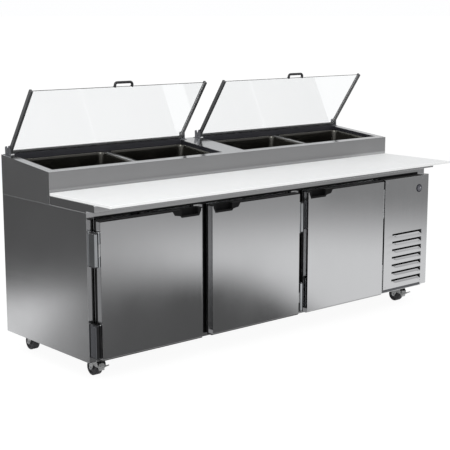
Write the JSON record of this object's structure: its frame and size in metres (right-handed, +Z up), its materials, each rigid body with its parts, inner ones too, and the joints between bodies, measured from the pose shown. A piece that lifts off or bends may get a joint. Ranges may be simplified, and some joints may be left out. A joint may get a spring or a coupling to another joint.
{
  "type": "refrigerated prep table",
  "caption": "Refrigerated pizza and sandwich prep table: stainless cabinet, hinged doors, louvred machine bay, raised pan rail with clear lids, white cutting board, swivel casters.",
  "frame": {"origin": "on the floor, under the centre of the part's bounding box", "axes": "+Z up, front with doors and cutting board faces -Y, +X to the right as seen from the front"},
  "size_m": [2.3622, 0.9208, 1.3462],
  "materials": {
    "steel": "brushed stainless, satin",
    "pan_steel": "drawn stainless, bright satin",
    "zinc": "zinc plated, satin",
    "black_plastic": "black moulded ABS, fine texture",
    "black_paint": "black enamel",
    "gasket": "soft black vinyl",
    "tyre": "dark tread",
    "board": "white polyethylene, fine matt texture",
    "clear_pane": "clear, gloss",
    "aluminium": "mill",
    "dial_grey": "satin"
  },
  "bodies": {
    "cabinet": {"side_panel_left": "steel", "side_panel_right": "steel", "back_panel": "steel", "floor_pan": "steel", "face_frame": "steel", "machine_surround": "steel", "machine_bulkhead": "aluminium", "counter_top": "steel", "rail_housing": "steel", "collar_left": "black_plastic", "collar_right": "black_plastic", "divider_left": "steel", "divider_right": "steel", "wire_shelf_1": "zinc", "wire_shelf_2": "zinc", "wire_shelf_3": "zinc", "evaporator": "aluminium", "compressor": "black_paint", "condenser": "aluminium", "cord_gland": "black_plastic", "hinge_bracket_1_lower": "zinc", "hinge_bracket_1_upper": "zinc", "hinge_bracket_2_lower": "zinc", "hinge_bracket_2_upper": "zinc", "hinge_bracket_3_lower": "zinc", "hinge_bracket_3_upper": "zinc"},
    "door_1": {"door_shell_1": "steel", "door_cap_1": "black_plastic", "door_gasket_1": "gasket"},
    "door_2": {"door_shell_2": "steel", "door_cap_2": "black_plastic", "door_gasket_2": "gasket"},
    "door_3": {"door_shell_3": "steel", "door_cap_3": "black_plastic", "door_gasket_3": "gasket"},
    "lid_left": {"lid_frame_left": "black_plastic", "lid_pane_left": "clear_pane", "lid_handle_left": "black_plastic"},
    "lid_right": {"lid_frame_right": "black_plastic", "lid_pane_right": "clear_pane", "lid_handle_right": "black_plastic"},
    "pan_1": {"food_pan_1": "pan_steel"},
    "pan_2": {"food_pan_2": "pan_steel"},
    "pan_3": {"food_pan_3": "pan_steel"},
    "pan_4": {"food_pan_4": "pan_steel"},
    "board": {"cutting_board": "board"},
    "machine_panel": {"louvre_panel": "steel"},
    "dial": {"temperature_dial": "dial_grey"},
    "caster_front_left": {"caster_fork_front_left": "zinc"},
    "wheel_front_left": {"caster_wheel_front_left": "tyre"},
    "brake_front_left": {"brake_lever_front_left": "zinc"},
    "caster_front_right": {"caster_fork_front_right": "zinc"},
    "wheel_front_right": {"caster_wheel_front_right": "tyre"},
    "brake_front_right": {"brake_lever_front_right": "zinc"},
    "caster_back_left": {"caster_fork_back_left": "zinc"},
    "wheel_back_left": {"caster_wheel_back_left": "tyre"},
    "caster_back_right": {"caster_fork_back_right": "zinc"},
    "wheel_back_right": {"caster_wheel_back_right": "tyre"},
    "evaporator_fan": {"evaporator_fan": "black_plastic"},
    "condenser_fan": {"condenser_fan": "black_plastic"}
  },
  "joints": [
    {"name": "door_1_hinge", "type": "hinge", "parent": "cabinet", "child": "door_1", "pos_m": [-1.14986, -0.32321, 0.40259], "axis": [0, 0, -1], "range_deg": [0, 110]},
    {"name": "door_2_hinge", "type": "hinge", "parent": "cabinet", "child": "door_2", "pos_m": [0.11481, -0.32321, 0.40259], "axis": [0, 0, 1], "range_deg": [0, 110]},
    {"name": "door_3_hinge", "type": "hinge", "parent": "cabinet", "child": "door_3", "pos_m": [0.77394, -0.32321, 0.40259], "axis": [0, 0, 1], "range_deg": [0, 95]},
    {"name": "lid_left_hinge", "type": "hinge", "parent": "cabinet", "child": "lid_left", "pos_m": [-0.60642, 0.43498, 1.00781], "axis": [1, 0, 0], "range_deg": [0, 60]},
    {"name": "lid_right_hinge", "type": "hinge", "parent": "cabinet", "child": "lid_right", "pos_m": [0.60642, 0.43498, 1.00781], "axis": [1, 0, 0], "range_deg": [0, 60]},
    {"name": "food_pan_1_lift", "type": "slide", "parent": "cabinet", "child": "pan_1", "axis": [0, 0.1018, -0.9948], "range_m": [-0.055, 0]},
    {"name": "food_pan_2_lift", "type": "slide", "parent": "cabinet", "child": "pan_2", "axis": [0, 0.1018, -0.9948], "range_m": [-0.055, 0]},
    {"name": "food_pan_3_lift", "type": "slide", "parent": "cabinet", "child": "pan_3", "axis": [0, 0.1018, -0.9948], "range_m": [-0.055, 0]},
    {"name": "food_pan_4_lift", "type": "slide", "parent": "cabinet", "child": "pan_4", "axis": [0, 0.1018, -0.9948], "range_m": [-0.055, 0]},
    {"name": "cutting_board_lift", "type": "slide", "parent": "cabinet", "child": "board", "axis": [0, 0, 1], "range_m": [0, 0.1]},
    {"name": "louvre_panel_mount", "type": "slide", "parent": "cabinet", "child": "machine_panel", "axis": [0, 1, 0], "range_m": [-0.12, 0]},
    {"name": "dial_turn", "type": "hinge", "parent": "machine_panel", "child": "dial", "pos_m": [1.07188, -0.32962, 0.69469], "axis": [0, -1, 0], "range_deg": [-150, 150]},
    {"name": "caster_front_left_swivel", "type": "hinge", "parent": "cabinet", "child": "caster_front_left", "pos_m": [-1.08204, -0.19748, 0.0381], "axis": [0, 0, 1], "continuous": true},
    {"name": "caster_front_left_roll", "type": "hinge", "parent": "caster_front_left", "child": "wheel_front_left", "pos_m": [-1.08204, -0.16955, 0.0381], "axis": [1, 0, 0], "continuous": true},
    {"name": "brake_front_left_press", "type": "hinge", "parent": "caster_front_left", "child": "brake_front_left", "pos_m": [-1.08204, -0.22035, 0.05715], "axis": [1, 0, 0], "range_deg": [0, 12]},
    {"name": "caster_front_right_swivel", "type": "hinge", "parent": "cabinet", "child": "caster_front_right", "pos_m": [1.08204, -0.19748, 0.0381], "axis": [0, 0, 1], "continuous": true},
    {"name": "caster_front_right_roll", "type": "hinge", "parent": "caster_front_right", "child": "wheel_front_right", "pos_m": [1.08204, -0.16955, 0.0381], "axis": [1, 0, 0], "continuous": true},
    {"name": "brake_front_right_press", "type": "hinge", "parent": "caster_front_right", "child": "brake_front_right", "pos_m": [1.08204, -0.22035, 0.05715], "axis": [1, 0, 0], "range_deg": [0, 12]},
    {"name": "caster_back_left_swivel", "type": "hinge", "parent": "cabinet", "child": "caster_back_left", "pos_m": [-1.08204, 0.35624, 0.0381], "axis": [0, 0, 1], "continuous": true},
    {"name": "caster_back_left_roll", "type": "hinge", "parent": "caster_back_left", "child": "wheel_back_left", "pos_m": [-1.08204, 0.38417, 0.0381], "axis": [1, 0, 0], "continuous": true},
    {"name": "caster_back_right_swivel", "type": "hinge", "parent": "cabinet", "child": "caster_back_right", "pos_m": [1.08204, 0.35624, 0.0381], "axis": [0, 0, 1], "continuous": true},
    {"name": "caster_back_right_roll", "type": "hinge", "parent": "caster_back_right", "child": "wheel_back_right", "pos_m": [1.08204, 0.38417, 0.0381], "axis": [1, 0, 0], "continuous": true},
    {"name": "evaporator_fan_spin", "type": "hinge", "parent": "cabinet", "child": "evaporator_fan", "pos_m": [0, 0.34226, 0.65659], "axis": [0, 1, 0], "continuous": true},
    {"name": "condenser_fan_spin", "type": "hinge", "parent": "cabinet", "child": "condenser_fan", "pos_m": [0.97536, -0.1289, 0.29083], "axis": [0, 1, 0], "continuous": true}
  ]
}
